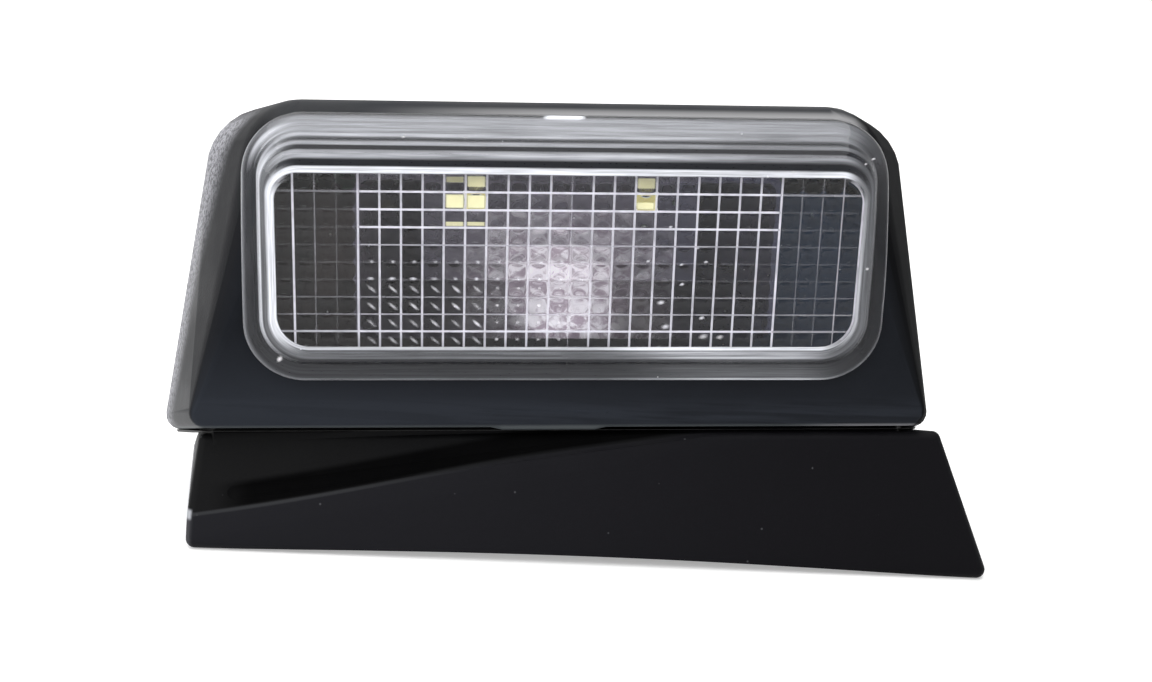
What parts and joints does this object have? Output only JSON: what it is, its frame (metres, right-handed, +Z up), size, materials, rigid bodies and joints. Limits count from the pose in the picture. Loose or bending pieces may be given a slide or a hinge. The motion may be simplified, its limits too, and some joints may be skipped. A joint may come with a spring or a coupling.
{
  "type": "roof marker light",
  "caption": "Roof marker light: a clear pillow-optic lens in a black hood that stands on a wedge foot, bolted to a sloping cab roof.",
  "frame": {"origin": "midway between the two roof bolts, at the mouths of their threaded inserts on the underside", "axes": "+X to the right as the lens is faced, -Y the way the light shines, +Z up from the roof"},
  "size_m": [0.1722, 0.0537, 0.0917],
  "materials": {
    "hood_plastic": "grained",
    "clear_lens": "gloss",
    "seal_rubber": "matt",
    "reflector_metal": "vacuum metallised",
    "carrier_plastic": "moulded",
    "screw_steel": "zinc plated",
    "board_laminate": "solder mask",
    "led_body": "moulded",
    "led_phosphor": "gel",
    "component_black": "moulded",
    "capacitor_can": "satin",
    "pad_silicone": "matt",
    "spreader_aluminium": "milled",
    "terminal_plastic": "moulded",
    "contact_brass": "plain",
    "foot_plastic": "grained",
    "gasket_foam": "foam",
    "insert_brass": "knurled",
    "vent_plastic": "moulded",
    "membrane_white": "felted"
  },
  "bodies": {
    "root": {"hood": "hood_plastic", "lens": "clear_lens", "lens_seal": "seal_rubber", "reflector": "reflector_metal", "board_carrier": "carrier_plastic", "carrier_screws": "screw_steel", "circuit_board": "board_laminate", "board_screws": "screw_steel", "leds": "led_body", "led_emitters": "led_phosphor", "resistors": "component_black", "diode": "component_black", "regulator": "component_black", "capacitor": "capacitor_can", "thermal_pad": "pad_silicone", "heat_spreader": "spreader_aluminium", "terminal_block": "terminal_plastic", "terminal_contacts": "contact_brass", "foot": "foot_plastic", "joint_seal": "seal_rubber", "roof_gasket": "gasket_foam", "hood_screws": "screw_steel", "threaded_inserts": "insert_brass", "cable_grommet": "seal_rubber", "vent_cap": "vent_plastic", "vent_membrane": "membrane_white"}
  },
  "joints": []
}
